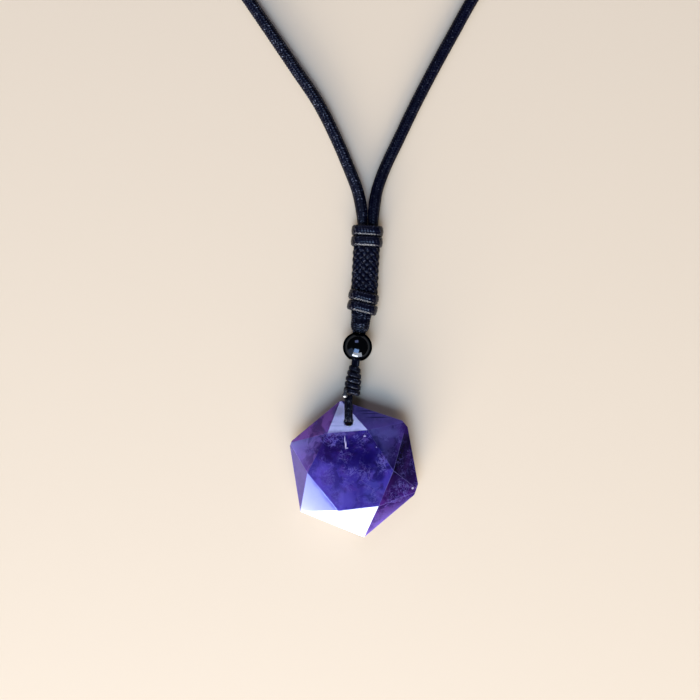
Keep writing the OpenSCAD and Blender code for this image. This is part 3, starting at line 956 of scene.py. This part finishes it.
@dataclass
class Knot:
    """The column of wound rows, from the bead down to the stone."""

    size: Layout
    half_tall: float = 0.60
    half_deep: float = 0.47
    core: tuple[float, float] = (0.9, 0.8)
    braid: Braid = Braid(columns=6, stitch=0.46, depth=0.13, slant=1.0)

    def frame(self) -> tuple[Array, Array, Array, float]:
        """The knot's axis, its directions across and up, and its length."""
        s = self.size
        along = s.knot_top - s.knot_foot
        length = float(np.linalg.norm(along))
        along = unit(along)
        across = unit(np.cross(along, vec(0, 0, 1)))
        return along, across, np.cross(across, along), length

    def build(self, material: Material) -> None:
        """Makes the winding and its core and dresses them."""
        s = self.size
        along, across, above, length = self.frame()
        widths = [s.knot_w * w / 2 for w in s.rows]
        turns = len(widths)
        a = np.linspace(-0.25, turns - 0.25, 60 * turns)
        middles = np.arange(turns) + 0.25
        radius = np.interp(a, middles, widths) - self.half_deep
        top = length - s.row_rim - s.row_rise
        height = top - (a - 0.25) * s.row_pitch
        height = np.clip(height, s.row_rim, length - s.row_rim)
        # Angle 0 is on top, and the winding runs down to the right over the front
        angle = 2 * math.pi * (a - 0.25)
        path = (s.knot_foot + height[:, None] * along + (radius * np.sin(angle))[:, None] * across
                + (radius * np.cos(angle))[:, None] * above)
        shape = Shape()
        path = smooth_path(path, RING_STEP)
        sweep(shape, path, along, self.half_deep, self.half_tall, 26, self.braid, boxy=0.85)
        core = np.array([s.knot_foot + t * along for t in np.linspace(0.5, length - 0.3, 12)])
        sweep(shape, core, above, *self.core, 24)
        settle(shape.build("wound_knot"), material, "cord", "knot")


@dataclass
class SealedEnd:
    """The thin cord's cut end, melted to a drop beside the lowest row.

    Turn is how far round the row it lies from the top, in degrees.
    """

    size: Layout
    turn: float = 35.0
    unevenness: float = 0.05

    def build(self, material: Material) -> None:
        """Makes the drop and its short neck and dresses them."""
        s = self.size
        r, lean, turn = s.drop_d / 2, leaning(s.knot_lean), math.radians(self.turn)
        reach = s.knot_w / 2 + s.gap + r
        beside = vec(-reach * math.sin(turn), 0, reach * math.cos(turn))
        centre = s.knot_foot + beside + s.row_pitch * 0.1 * lean
        profile = [(-r * math.cos(a), max(0.001, r * math.sin(a) * (1 + self.unevenness * math.sin(5 * a))))
                   for a in np.linspace(0, 2.15, 22)]
        profile += [(s.row_pitch * t, s.thin_r * w)
                    for t, w in ((0.55, 0.98), (0.8, 1.02), (1.05, 0.98), (1.18, 0.75), (1.2, 0.001))]
        shape = Shape()
        lathe(shape, centre, lean, profile, 40)
        points = shape.points[0]
        wobble = 1 + self.unevenness * np.sin(points[:, 0] * 9) * np.sin(points[:, 2] * 8 + 1)
        shape.points[0] = centre + (points - centre) * wobble[:, None]
        settle(shape.build("melted_end"), material, "melted_cord", "sealed_end")


@dataclass
class Bead:
    """The round bead with its countersunk bore and rounded rims."""

    size: Layout
    rim: float = 0.08

    def build(self, material: Material) -> None:
        """Turns the bead and dresses it."""
        s = self.size
        open_a = math.asin((s.sink_r + self.rim) / s.bead_r)
        outer = [(-s.bead_r * math.cos(a), s.bead_r * math.sin(a))
                 for a in np.linspace(open_a, math.pi - open_a, 72)]
        end = s.rim_up - 0.02
        mouth = [(end, s.sink_r + 0.02), (end - 0.05, s.sink_r - 0.02), (s.rim_up - s.sink_depth, s.bore_r)]
        profile = outer + mouth + [(-up, r) for up, r in mouth[::-1]]
        shape = Shape()
        lathe(shape, s.bead_at, s.eye_foot - s.bead_at, profile, 128)
        settle(shape.build("round_bead"), material, "bead", "bead")


@dataclass
class BeadThread(ThinCord):
    """The doubled thin cord through the bead and round the neck cord's fold, sunk a little into the knot."""

    filling: tuple[float, float] = (0.5, 0.8)
    sunk: float = 0.15

    def build(self, material: Material) -> None:
        """Makes the thread and dresses it."""
        s = self.size
        foot = -s.bead_r - s.thin_neck - self.sunk
        rows = [(foot, s.thin_half), (s.rim_up - 1.4 * s.sink_depth, s.thin_half), (s.rim_up, s.rim_half),
                (mix(s.rim_up, s.bend_up, 0.5), mix(s.rim_half, s.bend_r, 0.8))]
        leg = [[s.from_bead(up, side * across) for up, across in rows] for side in (1, -1)]
        over = [s.from_bead(s.bend_up + s.bend_r * math.sin(a), s.bend_r * math.cos(a))
                for a in np.linspace(0, math.pi, 9)]
        line = unit(s.eye_foot - s.bead_at)
        normal = np.cross(unit(np.cross(line, vec(0, 0, 1))), line)
        shape = Shape()
        self.lay(shape, np.array(leg[0] + over + leg[1][::-1]), normal)
        mouth = -s.bead_r + 0.5 * s.sink_depth
        self.fill(shape, np.array([s.from_bead(up) for up in np.linspace(foot, mouth, 8)]), normal)
        settle(shape.build("thin_cord_in_bead"), material, "cord", "bead_thread")


@dataclass
class NeckCord:
    """The braided neck cord: the fold, both strands in the sleeve, and the neck loop.

    It has its finest rings up to near_end along +Y. Lengths are in millimetres.
    """

    size: Layout
    near_end: float = 108.0
    ring_step: float = 0.11
    braid: Braid = Braid(columns=12, stitch=0.60, depth=0.30, slant=0.9)
    fold_braid: Braid = Braid(columns=18, stitch=0.52, depth=0.24, slant=0.8)

    def build(self, material: Material, shaded_copy: Material) -> None:
        """Makes the fold, then the cord in stretches, finely braided where it shows most.

        Args:
            material: The finish.
            shaded_copy: A copy of the finish for the right side, with fewer painted glints and less shine, as
                painted shade on that strand.
        """
        s, above = self.size, vec(0, 0, 1)
        fold = smooth_path(s.fold_line(), RING_STEP)
        shape = Shape()
        sweep(shape, fold[:, :3], above, fold[:, 3], fold[:, 4], 120, self.fold_braid,
              boxy=0.85, rounded=False)
        settle(shape.build("neck_cord_fold"), material, "cord", "neck_cord")
        line = smooth_path(s.neck_line(), self.ring_step)
        run = run_of(line)
        beyond = np.nonzero(line[:, 1] > s.cords_top[1] - 0.6 * s.wrap_len)[0]
        top, top_back = int(beyond[0]), int(beyond[-1])
        beyond = np.nonzero(line[:, 1] > self.near_end)[0]
        far, far_back = int(beyond[0]), int(beyond[-1])
        for name, first, last, step, segments, braid, finish in (
                ("neck_cord_right_hidden", 0, top, 4, 16, None, material),
                ("neck_cord_left_hidden", top_back, len(line), 4, 16, None, material),
                ("neck_cord_right", top, far, 1, 72, self.braid, shaded_copy),
                ("neck_cord_left", far_back, top_back, 1, 72, self.braid, material),
                ("neck_cord_far", far, far_back, 2, 36, self.braid, material)):
            rows, shape = line[first : last + 1 : step], Shape()
            sweep(shape, rows[:, :3], above, rows[:, 3], rows[:, 3], segments, braid,
                  run_start=run[first], rounded=False)
            settle(shape.build(name), finish, "cord", "neck_cord")
        LOG.info("neck cord %.0f mm long", run[-1])


@dataclass
class Wraps:
    """The four turns of braided cord round both strands."""

    size: Layout
    ring_step: float = 0.12
    braid: Braid = Braid(columns=10, stitch=0.60, depth=0.26, slant=0.95)

    def ring(self, foot: Array, lean: float, slant: float, i: int) -> Shape:
        """One turn as a flattened cord on a stadium-shaped line.

        Args:
            foot: Lower end of the pair of wraps.
            lean: Lean of the cords, in degrees.
            slant: Slant of the turn against the cords, in degrees.
            i: Number of the turn in its pair.

        Returns:
            The turn's shape.
        """
        s = self.size
        slope = math.radians(slant)
        c = math.cos(slope)
        up = s.gap + (i + 0.5) * s.wrap_pitch / c
        centre = foot + up * leaning(lean)
        along = leaning(lean - slant)
        across, above = np.cross(along, vec(0, 0, 1)), vec(0, 0, 1)
        half = s.held_half + s.held_r * (1 / c - 1) + s.wrap_len / 2 * math.sin(slope)
        r = s.held_r + s.gap + s.wrap_t / 2
        arc = np.linspace(-math.pi / 2, math.pi / 2, 16)
        right = [(half + r * math.cos(a), r * math.sin(a)) for a in arc]
        straight = [(half * (1 - 2 * t), r) for t in (0.25, 0.5, 0.75)]
        outline = right + straight
        outline += [(-x, -y) for x, y in outline]
        points = np.array([centre + x * across + y * above for x, y in outline])
        loop = smooth_path(np.vstack([points, points[:1]]), self.ring_step)[:-1]
        outwards = unit((loop - centre) - np.clip((loop - centre) @ across, -half, half)[:, None] * across)
        total = run_of(loop)[-1] + float(np.linalg.norm(loop[0] - loop[-1]))
        braid = replace(self.braid, stitch=total / round(total / self.braid.stitch))
        shape = Shape()
        sweep(shape, loop, outwards, s.wrap_len / 2, s.wrap_t / 2, 50, braid, closed=True, boxy=0.72)
        return shape

    def build(self, material: Material) -> None:
        """Makes all four turns and dresses them."""
        s = self.size
        for name, foot, lean, slant, i in (("lower_wrap_1", s.eye_foot, s.eye_lean, s.lower_slant, 0),
                                           ("lower_wrap_2", s.eye_foot, s.eye_lean, s.lower_slant, 1),
                                           ("upper_wrap_1", s.sleeve_top, s.sleeve_lean, 0.0, 0),
                                           ("upper_wrap_2", s.sleeve_top, s.sleeve_lean, 0.0, 1)):
            settle(self.ring(foot, lean, -slant, i).build("braided_" + name), material, "cord", name)


@dataclass
class WovenSleeve:
    """The sleeve of yarns that cross over and under round both strands."""

    size: Layout
    yarns: int = 9
    half_wide: float = 0.52
    half_tall: float = 0.20
    swing: float = 0.16
    braid: Braid = Braid(columns=6, stitch=0.45, depth=0.05, slant=0.8)

    def outline(self, r: float) -> tuple[Callable[[Array], tuple[Array, Array]], float]:
        """The sleeve's round-ended outline.

        Args:
            r: Radius of its ends.

        Returns:
            A function from distance round the outline to its points and outward directions, and its
            whole length.
        """
        half = self.size.held_half
        total = 4 * half + 2 * math.pi * r

        def at(p: Array) -> tuple[Array, Array]:
            """Points and outward directions at distances p."""
            p = np.mod(p, total)
            points, out = np.zeros((len(p), 2)), np.zeros((len(p), 2))
            for side, start in ((1, 0.0), (-1, total / 2)):
                q = p - start
                flat = (q >= 0) & (q < 2 * half)
                points[flat] = np.stack([side * (q[flat] - half), np.full(flat.sum(), side * r)], axis=1)
                out[flat] = (0, side)
                bend = (q >= 2 * half) & (q < total / 2)
                a = math.pi / 2 - (q[bend] - 2 * half) / r
                d = side * np.stack([np.cos(a), np.sin(a)], axis=1)
                points[bend] = side * vec(half, 0) + r * d
                out[bend] = d
            return points, out

        return at, total

    def build(self, material: Material) -> None:
        """Weaves the yarns and dresses them."""
        s = self.size
        base = s.held_r + s.gap + s.weave_t / 2
        at, total = self.outline(base)
        along, above = leaning(s.sleeve_lean), vec(0, 0, 1)
        across = np.cross(along, above)
        slant = math.radians(s.eye_lean + s.lower_slant - s.sleeve_lean)
        cell = total / self.yarns
        h = np.arange(-0.9, s.sleeve_len + 0.001, RING_STEP)
        shape = Shape()
        for way in (1, -1):
            for k in range(self.yarns):
                p = k * cell + way * h
                points, out = at(p)
                lift = way * self.swing * np.cos(math.pi * h / (cell / 2))
                points = points + lift[:, None] * out
                low = -np.tan(slant) * points[:, 0]
                keep = h > low + 0.02
                rows = s.sleeve_foot + h[:, None] * along + points[:, :1] * across + points[:, 1:] * above
                normals = out[:, :1] * across + out[:, 1:] * above
                sweep(shape, rows[keep], normals[keep], self.half_wide, self.half_tall, 24, self.braid)
        settle(shape.build("sleeve_yarns"), material, "cord", "woven_sleeve")


@dataclass(frozen=True)
class Window:
    """A rectangular light seen from the stone at an azimuth and elevation, in degrees and metres."""

    name: str
    azimuth: float
    elevation: float
    width: float
    height: float
    radiance: float
    colour: Colour
    distance: float = 1.5

    def place(self) -> None:
        """Adds the light, which faces the stone."""
        a, e = math.radians(self.azimuth), math.radians(self.elevation)
        way = Vector((math.cos(e) * math.cos(a), math.cos(e) * math.sin(a), math.sin(e)))
        light = bpy.data.lights.new(self.name, "AREA")
        light.shape, light.size, light.size_y = "RECTANGLE", self.width, self.height
        light.energy = self.radiance * math.pi * self.width * self.height
        light.color = self.colour
        lamp = show(self.name, light)
        lamp.location = way * self.distance + Vector((0, 0.02, 0))
        lamp.rotation_euler = (-way).to_track_quat("-Z", "Y").to_euler()


@dataclass
class Studio:
    """The floor, the lights and the camera, which looks straight down from eye_at.

    The view is view_wide across at the height of the stone's middle. Lengths are in millimetres.
    """

    eye_at: tuple[float, float, float] = (-0.74, 25.45, 200.0)
    view_wide: float = 152.17
    floor_half: float = 3000.0
    floor_colour: Colour = (0.54, 0.42, 0.29)
    sky: Colour = (0.048, 0.049, 0.056)
    windows: tuple[Window, ...] = (
        Window("window", -92, 21, 1.73, 1.15, 9.5, (1.0, 0.97, 0.93)),
        Window("window_core", -106, 11, 0.95, 0.40, 34.0, (1.0, 0.98, 0.95)),
        Window("side_window", -143, 25, 1.15, 1.38, 0.9, (0.62, 0.74, 1.0)),
        Window("window_glow", -106, 57, 0.95, 0.80, 11.0, (0.40, 0.62, 1.0)),
        Window("far_wall", 99, 46, 0.62, 0.5, 4.5, (0.55, 0.60, 1.0)))

    def build(self) -> None:
        """Sets the stage."""
        scene = bpy.context.scene
        world = bpy.data.worlds.new("room")
        world.use_nodes = True
        world.node_tree.nodes["Background"].inputs["Color"].default_value = rgba(self.sky)
        scene.world = world
        for window in self.windows:
            window.place()
        floor = Shape()
        corners = self.floor_half * vec(-1, -1, 0, 1, -1, 0, 1, 1, 0, -1, 1, 0).reshape(4, 3)
        floor.add(corners, [(0, 1, 2, 3)])
        plane = floor.build("pale_floor", smooth=False)
        matt = Finish("pale_floor").surface({"Base Color": rgba(self.floor_colour), "Roughness": 0.75})
        plane.data.materials.append(matt)
        camera = bpy.data.cameras.new("camera")
        camera.sensor_width = 36.0
        camera.lens = camera.sensor_width * (self.eye_at[2] - SIZE.mid_z) / self.view_wide
        camera.clip_start = 0.005
        scene.camera = show("camera", camera)
        scene.camera.location = [v * MM for v in self.eye_at]
        scene.view_settings.view_transform = "Standard"


# Clouds that lie under the stone's veins. Each row has a patch's middle, reach, colour, share and raggedness,
# and, off the table, its height and depth
UNDER = (
    Patch((0.5, 3.6), (8.6, 5.2), seen(20, 8, 96), 0.95, 0.9),
    Patch((-5.9, 4.2), (2.8, 3.6), seen(36, 10, 92), 0.8, 1.0),
    Patch((-4.4, 7.7), (4.4, 0.7), seen(96, 84, 160), 0.8, 0.9),
    Patch((5.9, 1.2), (1.3, 4.2), seen(34, 30, 112), 0.8, 0.9),
    Patch((-6.4, -1.6), (3.2, 3.2), seen(92, 74, 186), 0.85, 0.7),
    Patch((-2.4, -6.0), (5.0, 3.4), seen(84, 72, 178), 0.85, 0.6),
    Patch((4.2, -4.6), (2.9, 3.2), seen(66, 62, 158), 0.8, 0.6),
    Patch((0.6, -3.6), (2.0, 3.6), seen(56, 42, 140), 0.75, 0.8),
)
# Darker and paler patches, the crack, flecks and scratches that lie over the veins
OVER = (
    Patch((2.7, 2.1), (2.2, 2.2), seen(8, 0, 84), 0.8, 0.9),
    Patch((-1.6, 3.6), (1.0, 2.0), seen(12, 2, 88), 0.6, 0.9),
    Patch((5.6, -1.7), (1.5, 1.3), seen(16, 4, 92), 0.75, 1.0),
    Patch((-2.6, -6.6), (0.7, 3.0), seen(98, 86, 192), 0.5, 0.7),
    Patch((1.7, -6.2), (0.5, 3.2), seen(52, 38, 136), 0.5, 0.7),
    Patch((-1.86, 6.3), (0.13, 0.9), seen(206, 200, 252), 0.85, 0.6),
    Patch((-1.66, 5.2), (0.17, 0.9), seen(214, 208, 255), 0.9, 0.5),
    Patch((-1.42, 4.5), (0.30, 0.16), seen(196, 190, 250), 0.7, 0.7),
    Patch((2.4, 7.06), (0.30, 0.16), seen(206, 200, 250), 0.9, 0.6),
    Patch((4.9, 4.7), (0.15, 0.16), seen(150, 146, 230), 0.9, 0.6),
    Patch((7.6, 7.7), (2.6, 1.3), seen(98, 90, 170), 0.8, 0.9, 5.6, 2.0),
    Patch((3.6, 12.3), (3.4, 0.16), seen(24, 18, 66), 0.8, 0.4, 4.8, 2.0),
    Patch((4.2, 11.7), (3.2, 0.13), seen(24, 18, 66), 0.7, 0.4, 5.0, 2.0),
    Patch((5.4, 10.9), (3.0, 0.15), seen(22, 16, 62), 0.8, 0.4, 5.0, 2.0),
    Patch((-3.4, 9.2), (2.6, 0.10), seen(120, 122, 176), 0.6, 0.4, 5.8, 2.0),
    Patch((-3.0, 12.2), (1.7, 1.6), seen(76, 74, 116), 0.9, 0.7, 4.6, 2.0),
    Patch((-4.6, 10.0), (0.9, 0.06), seen(40, 34, 80), 0.8, 0.5, 5.4, 2.0),
    Patch((11.2, 8.4), (1.3, 1.3), seen(54, 20, 108), 0.8, 0.8, 4.4, 2.0),
    Patch((12.8, -4.4), (0.30, 0.30), seen(206, 196, 226), 0.9, 0.5, 4.4, 2.0),
)


def main() -> None:
    """Builds the necklace piece by piece and reports each one."""
    logging.basicConfig(level=logging.INFO, format="%(name)s %(message)s", stream=sys.stdout)
    mottle, vein, zone = mottle_group(), vein_group(), zone_group()
    fibre, scuff = fibre_group(), scuff_group()
    Studio().build()
    neck = BraidedCord("braided_neck_cord").make(fibre)
    # A copy of the neck cord's finish with fewer painted glints and less shine, painted shade for the right
    # strand
    shaded_copy = BraidedCord("braided_neck_cord_shaded_copy", glint_share=0.10, shine=0.09).make(fibre)
    turns = BraidedCord("braided_wraps", glint_share=0.12, gloss=0.16, dull=0.26, shine=0.30).make(fibre)
    thin = BraidedCord("thin_cord", glint_share=0.45, gloss=0.24, dull=0.5, shine=0.12).make(fibre)
    woven = BraidedCord("woven_sleeve", glint_share=0.30, dull=0.34, shine=0.07).make(fibre)
    melted = GlossBlack("melted_tip", (0.02, 0.02, 0.022), (0.10, 0.10, 0.10), 0.12, 0.5).make(mottle, scuff)
    polished = GlossBlack("polished_bead", (0.030, 0.034, 0.042), (0.034, 0.038, 0.046), 0.10, 0.02,
                          metal=1.0, edge=0.0).make(mottle, scuff)
    CutStone(SIZE).build(Amethyst(under=UNDER, over=OVER).make(mottle, vein, zone, scuff))
    StoneLoop(SIZE).build(thin)
    Knot(SIZE).build(thin)
    SealedEnd(SIZE).build(melted)
    Bead(SIZE).build(polished)
    BeadThread(SIZE).build(thin)
    NeckCord(SIZE).build(neck, shaded_copy)
    Wraps(SIZE).build(turns)
    WovenSleeve(SIZE).build(woven)


if __name__ == "__main__":
    main()
